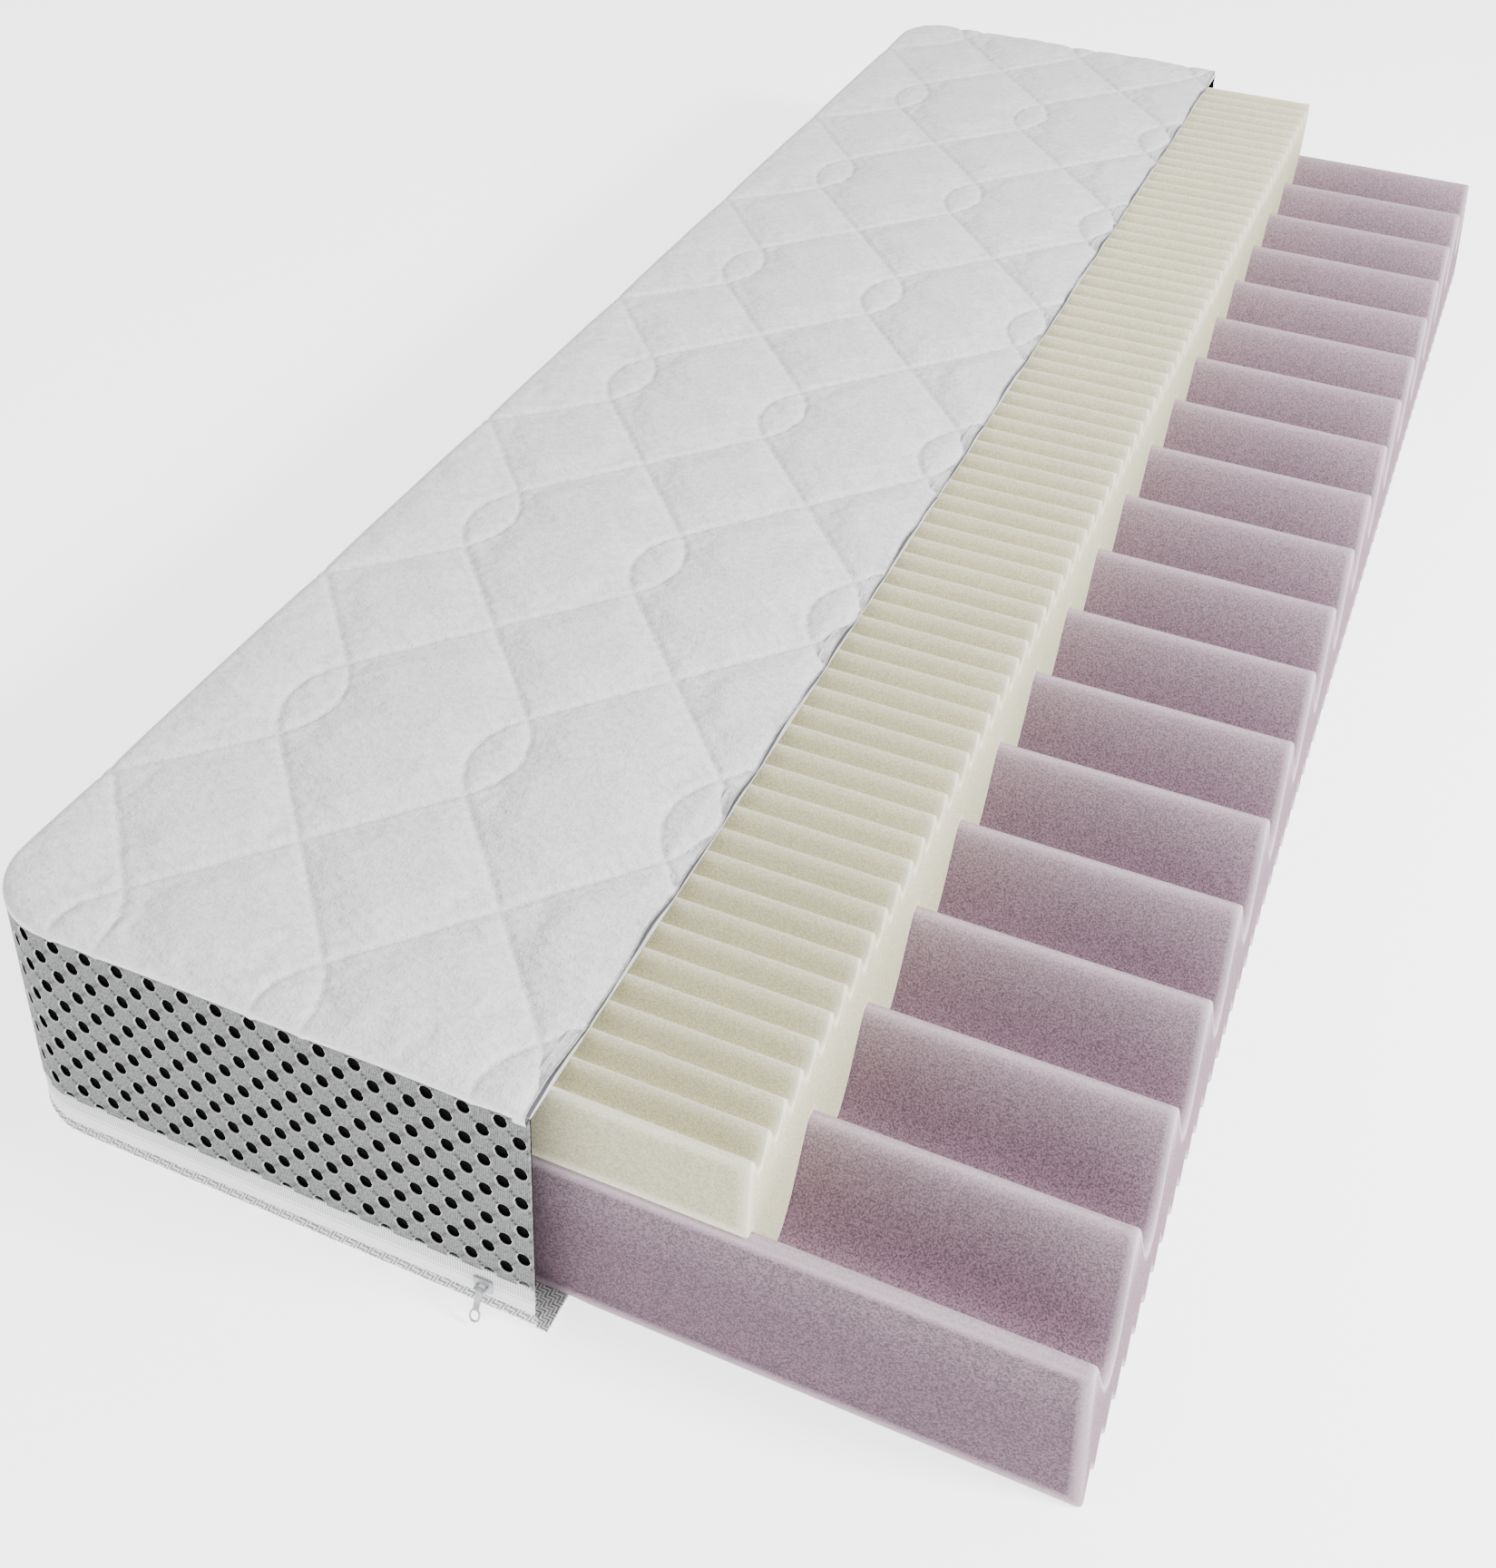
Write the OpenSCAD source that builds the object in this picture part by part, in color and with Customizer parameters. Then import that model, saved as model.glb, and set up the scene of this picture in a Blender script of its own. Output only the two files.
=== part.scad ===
// Display cut-away of a profiled foam mattress in a zipped, quilted cover.
// The cover is cut back to show the cream layer, and the cream layer to show the lilac core.
// Origin: on the resting plane, under the middle of the mattress. +X points to the opened side,
// +Y runs along the mattress away from the zip slider, +Z is up.

/* [Mattress] */
// Overall width of the mattress, along X
mattress_w = 800; // [700:10:1000]
// Overall length of the cover, along Y
mattress_l = 2000; // [1900:10:2100]
// Overall height, from the resting plane to the top of the quilted panel
mattress_h = 213; // [205:1:235]
// Plan radius of the cover's two closed corners
corner_r = 60; // [45:1:90]
// X position of the plane at which the cover is cut open
cover_cut_x = 34; // [-60:1:80]
// X position of the cream layer's open side
cream_cut_x = 170; // [120:1:220]

/* [Foam] */
// Length of both foam layers, along Y
foam_l = 1926; // [1800:2:1930]
// Gap between the near end of the foam and the outside of the cover
foam_inset_near = 31; // [20:1:36]
// Gap between the closed long side of the foam and the outside of the cover
foam_inset_side = 15; // [12:1:20]
// Height of the lilac core at its crests
core_h = 132; // [110:1:140]
// Number of waves along the core
wave_count = 18; // [12:1:22]
// Depth of the waves
wave_depth = 70; // [40:1:80]
// Depth of the fine teeth under the core
tooth_depth = 19; // [10:1:24]
// Fine ridges and teeth on each wave of the core
fine_per_wave = 4; // [3:1:5]
// Depth of the fine ridges on the cream layer
ridge_depth = 21; // [10:1:26]

/* [Cover] */
// Thickness of the bottom fabric
bottom_t = 3; // [2:0.5:4]
// How far the bottom fabric reaches past the cut, under the core
bottom_flap = 9; // [2:1:20]
// Height of the upturned rim of the bottom fabric
rim_h = 14; // [12:1:14]
// Thickness of the quilted panel's outer fabric
quilt_face_t = 1.5; // [1:0.1:2]
// Thickness of the quilted panel's wadding
wadding_t = 6.4; // [5:0.1:7]
// Thickness of the spacer mesh border
mesh_t = 3; // [2:0.5:4]
// Height of the lower edge of the mesh border
mesh_z = 40; // [38:1:46]

/* [Zipper] */
// Height of the middle of the zipper
zip_z = 25; // [24:0.5:26]
// Width of one coil row
coil_w = 3.5; // [2.5:0.5:4]
// Open gap between the two halves of the zipper, where the slider's post runs
zip_gap = 1.6; // [1.4:0.1:2]
// X position of the slider
slider_x = -4; // [-60:1:8]
// Length of the slider along the zipper
slider_l = 14; // [14:1:24]
// Width of the slider across the zipper
slider_w = 12; // [12:1:14]
// Length of the pull tab, from its pivot to the end of its ring
pull_l = 23.5; // [20:0.5:23.5]
// Angle at which the pull tab hangs away from the cover
pull_lean = 25; // [0:1:40]

/* [Hidden] */

soft_gap = 0.4;                 // clearance between soft pieces that lie on each other
over = 1;                       // how far a cutting shape runs past what it cuts
cover_left = -mattress_w / 2;
near_y = -mattress_l / 2;
wave_pitch = foam_l / wave_count;
fine_count = wave_count * fine_per_wave;
fine_pitch = foam_l / fine_count;
foam_left = cover_left + foam_inset_side;
foam_near = near_y + foam_inset_near;
lining_t = 1;
lining_in = mesh_t + lining_t;

// The quilted panel, from the top down
quilt_backing_t = 1.2;
wadding_top = mattress_h - quilt_face_t;
wadding_z = wadding_top - wadding_t;
backing_z = wadding_z - quilt_backing_t;
cream_top = backing_z - soft_gap;

// The zipper, as insets from the outside of the cover and heights
tape_out = 0.6;
tape_in = 1.8;
coil_in = 4.2;
coil_upper_z = zip_z + zip_gap / 2;
coil_lower_z = zip_z - zip_gap / 2 - coil_w;
plate_t = 1.4;
plate_gap = 0.4;                // clearance between the slider's plates and the zipper
post_t = 1;
post_l = 4;
bar_r = 0.9;
bar_inset = -5.2;
eye_bore_r = 1.3;
eye_r = 2.2;
eye_w = 4;
tab_w = 4.4;
tab_t = 1.2;
ring_r = 4;
ring_hole_r = 2.7;
ring_stretch = 2;
round_fn = 96;
small_fn = 48;

// Drop below a crest, 0 to 1, at t waves from the crest: a flat crest and a rounded valley
crest_half = 0.04;
slope_power = 0.7;
function from_crest(u) = abs(u - round(u));
function wave_drop(t) = pow(sin(90 * pow(max(0, (t - crest_half) / (0.5 - crest_half)), slope_power)), 2);

// Where along one wave the outline has its points
wave_steps = [0, 0.04, 0.07, 0.11, 0.16, 0.22, 0.28, 0.34, 0.40, 0.45, 0.5,
              0.55, 0.60, 0.66, 0.72, 0.78, 0.84, 0.89, 0.93, 0.96];
ridge_steps = [0, 0.06, 0.18, 0.36, 0.5, 0.64, 0.82, 0.94];

// [y, z] points of a wavy top, from the near end to the far end
function wavy_top(count, pitch, height, depth, steps) =
    [for (i = [0 : count]) for (s = steps) if (i < count || s == 0)
        [(i + s) * pitch, height - depth * wave_drop(from_crest(i + s))]];

// [y, z] points of the pointed teeth, from the far end back to the near end
function toothed_bottom(count, pitch, depth) =
    [for (i = [2 * count : -1 : 0]) [i * pitch / 2, i % 2 == 0 ? 0 : depth]];

function lifted(points, dz) = [for (p = points) [p[0], p[1] + dz]];
function backwards(points) = [for (i = [len(points) - 1 : -1 : 0]) points[i]];

// Pushes a [y, z] outline along +X, from x0 to x1, with its y measured from the foam's near end
module along_x(x0, x1, outline) {
    translate([x0, foam_near, 0])
        rotate([90, 0, 90])
            linear_extrude(x1 - x0)
                polygon(outline);
}

// Plan of the cover, drawn inwards by inset, its closed corners round and its open side at right_x
module plan(inset, right_x) {
    arc_x = cover_left + corner_r;
    arc_y = mattress_l / 2 - corner_r;
    union() {
        translate([arc_x, near_y + inset])
            square([right_x - arc_x, mattress_l - 2 * inset]);
        translate([cover_left + inset, -arc_y])
            square([corner_r - inset + over, 2 * arc_y]);
        for (side = [-1, 1])
            translate([arc_x, side * arc_y])
                circle(r = corner_r - inset, $fn = round_fn);
    }
}

// A wall that follows the cover's three closed sides, between two insets and two heights
module wall(inset_out, inset_in, z0, z1) {
    translate([0, 0, z0])
        linear_extrude(z1 - z0)
            difference() {
                plan(inset_out, cover_cut_x);
                plan(inset_in, cover_cut_x + over);
            }
}

// A flat layer with the cover's plan
module layer(inset, z0, z1, right_x) {
    translate([0, 0, z0])
        linear_extrude(z1 - z0)
            plan(inset, right_x);
}

module lilac_foam_core() {
    outline = concat(wavy_top(wave_count, wave_pitch, core_h, wave_depth, wave_steps),
                     toothed_bottom(fine_count, fine_pitch, tooth_depth));
    flap_x = cover_cut_x + bottom_flap;
    color([0.62, 0.55, 0.60])
        difference() {
            along_x(foam_left, mattress_w / 2, outline);
            // The teeth are pressed flat where the bottom fabric lies under them
            translate([foam_left - over, foam_near - over, -over])
                cube([flap_x - foam_left + over + soft_gap, foam_l + 2 * over,
                      bottom_t + soft_gap + over]);
        }
}

module cream_foam_layer() {
    ridges = wavy_top(fine_count, fine_pitch, cream_top, ridge_depth, ridge_steps);
    underside = lifted(wavy_top(wave_count, wave_pitch, core_h, wave_depth, wave_steps), soft_gap);
    color([0.83, 0.82, 0.72])
        along_x(foam_left, cream_cut_x, concat(ridges, backwards(underside)));
}

module bottom_cover_fabric() {
    color([0.78, 0.78, 0.78])
        union() {
            layer(0, 0, bottom_t, cover_cut_x + bottom_flap);
            wall(0, bottom_t, bottom_t, rim_h);
        }
}

module zipper_tape_lower() {
    color([0.93, 0.93, 0.93])
        wall(tape_out, tape_in, rim_h, zip_z - zip_gap / 2);
}

module zipper_coil_lower() {
    color([0.88, 0.88, 0.88])
        wall(tape_in, coil_in, coil_lower_z, coil_lower_z + coil_w);
}

module zipper_tape_upper() {
    color([0.93, 0.93, 0.93])
        wall(tape_out, tape_in, zip_z + zip_gap / 2, mesh_z);
}

module zipper_coil_upper() {
    color([0.88, 0.88, 0.88])
        wall(tape_in, coil_in, coil_upper_z, coil_upper_z + coil_w);
}

module mesh_border() {
    color([0.66, 0.67, 0.66])
        wall(0, mesh_t, mesh_z, wadding_z);
}

module mesh_border_lining() {
    color([0.08, 0.08, 0.09])
        wall(mesh_t, lining_in, mesh_z, wadding_z);
}

module quilted_top_fabric() {
    color([0.92, 0.92, 0.92])
        difference() {
            layer(0, wadding_z, mattress_h, cover_cut_x);
            layer(quilt_face_t, wadding_z - over, wadding_top, cover_cut_x + over);
        }
}

module quilt_wadding() {
    color([0.95, 0.95, 0.94])
        layer(quilt_face_t, wadding_z, wadding_top, cover_cut_x);
}

module quilt_backing_fabric() {
    color([0.85, 0.85, 0.86])
        layer(lining_in, backing_z, wadding_z, cover_cut_x);
}

module slider_body() {
    front_y = near_y + tape_out - plate_gap;
    back_y = near_y + coil_in + plate_gap;
    color([0.78, 0.79, 0.80])
        union() {
            translate([slider_x - slider_l / 2, front_y - plate_t, zip_z - slider_w / 2])
                cube([slider_l, plate_t, slider_w]);
            translate([slider_x - slider_l / 2, back_y, zip_z - slider_w / 2])
                cube([slider_l, plate_t, slider_w]);
            translate([slider_x + slider_l / 2 - post_l, front_y - over / 2, zip_z - post_t / 2])
                cube([post_l, back_y - front_y + over, post_t]);
        }
}

module slider_crown() {
    plate_y = near_y + tape_out - plate_gap - plate_t;
    bar_y = near_y + bar_inset;
    half = slider_l / 4;
    color([0.78, 0.79, 0.80])
        union() {
            translate([slider_x - half, bar_y, zip_z])
                rotate([0, 90, 0])
                    cylinder(h = 2 * half, r = bar_r, $fn = small_fn);
            for (side = [-1, 1])
                translate([slider_x + side * half - bar_r, bar_y - bar_r, zip_z - bar_r])
                    cube([2 * bar_r, plate_y - bar_y + bar_r, 2 * bar_r]);
        }
}

module pull_tab() {
    ring_z = -(pull_l - ring_r);
    color([0.76, 0.77, 0.78])
        translate([slider_x, near_y + bar_inset, zip_z])
            rotate([-pull_lean, 0, 0])
                difference() {
                    union() {
                        translate([-eye_w / 2, 0, 0])
                            rotate([0, 90, 0])
                                cylinder(h = eye_w, r = eye_r, $fn = small_fn);
                        translate([-tab_w / 2, -tab_t / 2, ring_z + ring_stretch + ring_r - over])
                            cube([tab_w, tab_t, -ring_z - ring_stretch - ring_r + over]);
                        ring_outline(ring_z, ring_r, tab_t);
                    }
                    translate([-eye_w / 2 - over, 0, 0])
                        rotate([0, 90, 0])
                            cylinder(h = eye_w + 2 * over, r = eye_bore_r, $fn = small_fn);
                    ring_outline(ring_z, ring_hole_r, tab_t + 2 * over);
                }
}

// The long round ring at the end of the pull tab, or its hole
module ring_outline(z, r, thick) {
    rotate([90, 0, 0])
        translate([0, 0, -thick / 2])
            linear_extrude(thick)
                union() {
                    translate([0, z])
                        circle(r = r, $fn = small_fn);
                    translate([0, z + ring_stretch])
                        circle(r = r, $fn = small_fn);
                    translate([-r, z])
                        square([2 * r, ring_stretch]);
                }
}

lilac_foam_core();
cream_foam_layer();
bottom_cover_fabric();
zipper_tape_lower();
zipper_coil_lower();
quilted_top_fabric();
quilt_wadding();
quilt_backing_fabric();
mesh_border();
mesh_border_lining();
zipper_tape_upper();
zipper_coil_upper();
slider_body();
slider_crown();
pull_tab();
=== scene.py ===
"""The looks of a cut-away profiled foam mattress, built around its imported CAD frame."""
import math

import bmesh
import bpy
import numpy as np
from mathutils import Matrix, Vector


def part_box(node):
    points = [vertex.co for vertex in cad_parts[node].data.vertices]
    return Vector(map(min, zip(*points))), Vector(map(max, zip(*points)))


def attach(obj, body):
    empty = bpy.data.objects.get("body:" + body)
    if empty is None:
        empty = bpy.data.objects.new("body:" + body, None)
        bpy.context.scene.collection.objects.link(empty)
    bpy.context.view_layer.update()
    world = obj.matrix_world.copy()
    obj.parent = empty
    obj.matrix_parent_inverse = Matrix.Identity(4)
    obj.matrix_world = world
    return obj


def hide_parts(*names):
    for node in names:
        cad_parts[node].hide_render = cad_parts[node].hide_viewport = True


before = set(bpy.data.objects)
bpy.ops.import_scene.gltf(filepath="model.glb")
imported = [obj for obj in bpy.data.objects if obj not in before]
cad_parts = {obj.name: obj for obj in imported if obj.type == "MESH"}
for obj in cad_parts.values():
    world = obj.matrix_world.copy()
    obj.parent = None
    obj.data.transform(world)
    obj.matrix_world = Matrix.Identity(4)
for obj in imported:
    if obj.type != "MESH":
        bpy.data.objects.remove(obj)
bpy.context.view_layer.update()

# ---------------------------------------------------------------- sizes, in metres
MM = 0.001
core_low, core_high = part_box("lilac_foam_core")
cream_low, cream_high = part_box("cream_foam_layer")
panel_low, panel_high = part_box("quilted_top_fabric")
wadding_low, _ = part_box("quilt_wadding")
backing_low, backing_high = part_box("quilt_backing_fabric")
mesh_low, mesh_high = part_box("mesh_border")
bottom_low, bottom_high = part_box("bottom_cover_fabric")
tape_low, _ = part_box("zipper_tape_lower")
tape_up_low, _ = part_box("zipper_tape_upper")
coil_low, coil_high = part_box("zipper_coil_lower")
coil_up_low, coil_up_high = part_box("zipper_coil_upper")
slider_low, slider_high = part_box("slider_body")

COVER_LEFT = panel_low.x
COVER_CUT = panel_high.x
HALF_L = panel_high.y
CORNER_R = 60 * MM
TOP_Z = panel_high.z
SEAM_Z = mesh_high.z
CORE_H = core_high.z
WAVES = 18
FINE_PER_WAVE = 4
WAVE_PITCH = 107 * MM
WAVE_DEPTH = 70 * MM
TOOTH_DEPTH = 19 * MM
RIDGE_DEPTH = 21 * MM
CREST_HALF = 0.04
SLOPE_POWER = 0.7
FOAM_GAP = 0.4 * MM


# ---------------------------------------------------------------- mesh helpers
def grid_faces(rows, cols, wrap=False, flip=False):
    """Quads of a grid of rows by cols points; wrap closes each row into a ring."""
    r, c = np.meshgrid(np.arange(rows - 1), np.arange(cols if wrap else cols - 1), indexing="ij")
    n = (c + 1) % cols
    quads = np.stack([r * cols + c, r * cols + n, (r + 1) * cols + n, (r + 1) * cols + c], -1)
    quads = quads.reshape(-1, 4)
    return quads[:, ::-1] if flip else quads


def closed_slab(upper, lower):
    """Points and faces of two grids of the same shape, joined by walls round their rims."""
    rows, cols = upper.shape[:2]
    n = rows * cols
    loop = np.concatenate([np.arange(cols), np.arange(1, rows) * cols + cols - 1,
                           (rows - 1) * cols + np.arange(cols - 2, -1, -1),
                           np.arange(rows - 2, 0, -1) * cols])
    after = np.roll(loop, -1)
    walls = np.stack([loop, after, after + n, loop + n], -1)
    faces = np.concatenate([grid_faces(rows, cols), grid_faces(rows, cols, flip=True) + n, walls])
    return np.concatenate([upper.reshape(-1, 3), lower.reshape(-1, 3)]), faces


def make_piece(name, points, faces, material, body, slot, uv=None, replaces=()):
    """A mesh object in the row frame, riding on its body and standing for its CAD nodes."""
    mesh = bpy.data.meshes.new(name)
    mesh.from_pydata(np.asarray(points, float).tolist(), [], [list(map(int, f)) for f in faces])
    if uv is not None:
        layer = mesh.uv_layers.new(name="cloth")
        corner = np.zeros(len(mesh.loops), np.int32)
        mesh.loops.foreach_get("vertex_index", corner)
        layer.data.foreach_set("uv", np.asarray(uv, np.float32)[corner].ravel())
    mesh.materials.append(material)
    mesh.polygons.foreach_set("use_smooth", [True] * len(mesh.polygons))
    mesh.update()
    obj = bpy.data.objects.new(name, mesh)
    bpy.context.scene.collection.objects.link(obj)
    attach(obj, body)
    if replaces:
        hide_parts(*replaces)
    return obj


def shade_by_angle(obj, degrees):
    """Keeps edges sharper than the angle crisp."""
    obj.data.set_sharp_from_angle(angle=math.radians(degrees))


def fix_normals(obj):
    """Turns every face outwards."""
    work = bmesh.new()
    work.from_mesh(obj.data)
    bmesh.ops.recalc_face_normals(work, faces=work.faces)
    work.to_mesh(obj.data)
    work.free()
    return obj


# ---------------------------------------------------------------- the way round the cover
STRAIGHT = COVER_CUT - (COVER_LEFT + CORNER_R)
ARC = math.pi / 2 * CORNER_R
SIDE = 2 * (HALF_L - CORNER_R)
ENDS = np.cumsum([STRAIGHT, ARC, SIDE, ARC, STRAIGHT])
ROUND = ENDS[-1]
BEND_STEP = 8 * MM              # longest step round a corner


def on_cover(s, inset, z):
    """Points s metres round the cover's closed sides from the near cut, inset from its outside."""
    s, inset, z = np.broadcast_arrays(*(np.asarray(v, float) for v in (s, inset, z)))
    near, corner_a, side, corner_b = (s < ENDS[0], s < ENDS[1], s < ENDS[2], s < ENDS[3])
    a = (s - ENDS[0]) / CORNER_R
    b = (s - ENDS[2]) / CORNER_R
    middle = COVER_LEFT + CORNER_R
    reach = CORNER_R - inset
    x = np.select(
        [near, corner_a, side, corner_b],
        [COVER_CUT - s, middle - reach * np.sin(a), COVER_LEFT + inset, middle - reach * np.cos(b)],
        middle + s - ENDS[3])
    y = np.select(
        [near, corner_a, side, corner_b],
        [-HALF_L + inset, -HALF_L + CORNER_R - reach * np.cos(a), -HALF_L + CORNER_R + s - ENDS[1],
         HALF_L - CORNER_R + reach * np.sin(b)],
        HALF_L - inset)
    return np.stack([x, y, z], -1)


def way_round(step):
    """Distances round the cover at about this step, with every bend's ends among them."""
    stops = np.concatenate([[0], ENDS])
    parts = []
    for i, (p, q) in enumerate(zip(stops[:-1], stops[1:])):
        longest = min(step, BEND_STEP) if i % 2 else step
        parts.append(np.linspace(p, q, max(2, int(math.ceil((q - p) / longest)) + 1))[:-1])
    return np.concatenate(parts + [[ROUND]])


def band(name, profile, step, material, body, slot, replaces=()):
    """A closed profile of (inset, z) points swept round the cover, capped at its two cut ends."""
    s = way_round(step)
    profile = np.asarray(profile, float)
    points = on_cover(s[:, None], profile[None, :, 0], profile[None, :, 1])
    rows, cols = points.shape[:2]
    faces = [list(f) for f in grid_faces(rows, cols, wrap=True)]
    faces += [list(range(cols)), list(range((rows - 1) * cols, rows * cols))]
    length = np.concatenate([[0], np.cumsum(np.hypot(*np.diff(profile, axis=0).T))])
    uv = np.stack(np.broadcast_arrays(s[:, None], length[None, :]), -1).reshape(-1, 2)
    obj = make_piece(name, points.reshape(-1, 3), faces, material, body, slot, uv, replaces=replaces)
    fix_normals(obj)
    shade_by_angle(obj, 50)
    return obj


# ---------------------------------------------------------------- material helpers
class Shader:
    """One material's nodes. Values may be numbers, colours or sockets."""

    def __init__(self, name, roughness=0.9, **sockets):
        self.material = bpy.data.materials.new(name)
        self.material.use_nodes = True
        self.tree = self.material.node_tree
        self.principled = self.tree.nodes["Principled BSDF"]
        self.put(self.principled.inputs["Roughness"], roughness)
        for key, value in sockets.items():
            self.put(self.principled.inputs[key.replace("_", " ")], value)

    def put(self, socket, value):
        if isinstance(value, bpy.types.NodeSocket):
            self.tree.links.new(value, socket)
        elif socket.type == "RGBA":
            socket.default_value = (*value, 1.0)
        else:
            socket.default_value = value

    def node(self, kind, inputs=(), **settings):
        made = self.tree.nodes.new(kind)
        for key, value in settings.items():
            setattr(made, key, value)
        for key, value in dict(inputs).items():
            self.put(made.inputs[key], value)
        return made

    def math(self, operation, a, b=0.0, c=0.0):
        return self.node("ShaderNodeMath", {0: a, 1: b, 2: c}, operation=operation).outputs[0]

    def smooth(self, value, low, high, to_low=0.0, to_high=1.0):
        made = self.node("ShaderNodeMapRange", {"Value": value, "From Min": low, "From Max": high,
                                                "To Min": to_low, "To Max": to_high},
                         interpolation_type="SMOOTHSTEP")
        return made.outputs["Result"]

    def mix(self, factor, a, b):
        return self.node("ShaderNodeMix", {0: factor, 6: a, 7: b}, data_type="RGBA").outputs[2]

    def place(self, scale=(1, 1, 1)):
        """Object coordinates in metres, stretched by scale."""
        where = self.node("ShaderNodeTexCoord").outputs["Object"]
        return self.node("ShaderNodeMapping", {"Vector": where, "Scale": scale}).outputs[0]

    def cloth(self):
        """(distance along the cloth, distance across it) in metres."""
        uv = self.node("ShaderNodeUVMap", uv_map="cloth").outputs[0]
        split = self.node("ShaderNodeSeparateXYZ", {0: uv})
        return split.outputs[0], split.outputs[1]

    def noise(self, vector, scale, detail=2.0, roughness=0.5):
        made = self.node("ShaderNodeTexNoise", {"Vector": vector, "Scale": scale, "Detail": detail,
                                                "Roughness": roughness})
        return made.outputs["Fac"]

    def cells(self, vector, scale, feature="F1"):
        made = self.node("ShaderNodeTexVoronoi", {"Vector": vector, "Scale": scale}, feature=feature)
        return made.outputs["Distance"]

    def stripes(self, value, pitch, phase=0.0):
        """0 to 1 to 0 once every pitch metres."""
        turn = self.math("MULTIPLY_ADD", value, 2 * math.pi / pitch, phase)
        return self.math("MULTIPLY_ADD", self.math("SINE", turn), 0.5, 0.5)

    def bump(self, height, distance, strength=1.0, normal=None):
        made = self.node("ShaderNodeBump", {"Height": height, "Distance": distance, "Strength": strength})
        if normal is not None:
            self.put(made.inputs["Normal"], normal)
        return made.outputs[0]

    def finish(self, colour, normal=None):
        self.put(self.principled.inputs["Base Color"], colour)
        if normal is not None:
            self.put(self.principled.inputs["Normal"], normal)
        return self.material


def foam_material(name, deep, pale, edge, low_z, high_z, grain, darkest, cut_shade_tone):
    """Open-cell foam: fine grain and darker cells; painted light makes it paler upwards, a painted highlight
    makes it palest along its cut edges and crests, and painted shade darkens its cut faces.
    """
    shade = Shader(name, 0.95, Sheen_Weight=0.1, Sheen_Roughness=0.6, Specular_IOR_Level=0.12)
    where = shade.place()
    split = shade.node("ShaderNodeSeparateXYZ", {0: where})
    painted_light_by_height = shade.smooth(split.outputs[2], low_z, high_z)
    edge_highlight, cut_face_shade = shade.cloth()
    grains = shade.noise(where, grain, 2.0, 0.6)
    pores = shade.cells(where, grain * 0.8)
    cloud = shade.noise(where, 9.0, 2.0)
    # Painted light and shade: the deep colour low down and in the valleys, the pale one towards the crests.
    colour = shade.mix(painted_light_by_height, deep, pale)
    speckle = shade.smooth(grains, 0.36, 0.64, darkest, 2 - darkest)
    speckle = shade.math("MULTIPLY", speckle, shade.smooth(cloud, 0.3, 0.7, 0.97, 1.03))
    # Painted shade darkens the cut faces.
    speckle = shade.math("MULTIPLY", speckle, shade.math("MULTIPLY_ADD", cut_face_shade, cut_shade_tone - 1, 1.0))
    tone = shade.node("ShaderNodeHueSaturation", {"Color": colour, "Value": speckle}).outputs[0]
    # Painted highlight: the edge colour laid along the arrises, the ends and the crests.
    colour = shade.mix(shade.math("MULTIPLY", edge_highlight, 0.62), tone, edge)
    normal = shade.bump(grains, 0.35 * MM, 0.5)
    normal = shade.bump(pores, 0.25 * MM, 0.3, normal)
    return shade.finish(colour, normal)


def quilt_knit_material():
    """White knit with a fine crinkle of small loops."""
    shade = Shader("quilted_knit", 0.95, Sheen_Weight=0.2, Sheen_Roughness=0.5, Specular_IOR_Level=0.2)
    crinkle = shade.noise(shade.place((0.5, 1.0, 1.0)), 190.0, 3.0, 0.62)
    loops = shade.cells(shade.place((1.0, 0.7, 1.0)), 520.0)
    soft = shade.noise(shade.place(), 26.0, 2.0)
    colour = shade.mix(shade.smooth(crinkle, 0.35, 0.62), (0.63, 0.63, 0.64), (0.72, 0.72, 0.72))
    colour = shade.mix(shade.smooth(soft, 0.3, 0.7, 0.0, 0.35), colour, (0.75, 0.75, 0.75))
    normal = shade.bump(crinkle, 2.4 * MM, 1.0)
    normal = shade.bump(loops, 0.6 * MM, 0.5, normal)
    return shade.finish(colour, normal)


HOLE_PITCH = 13.2 * MM
HOLE_ROW = 14.2 * MM
HOLE_W = 5.4 * MM
HOLE_H = 6.1 * MM


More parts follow.
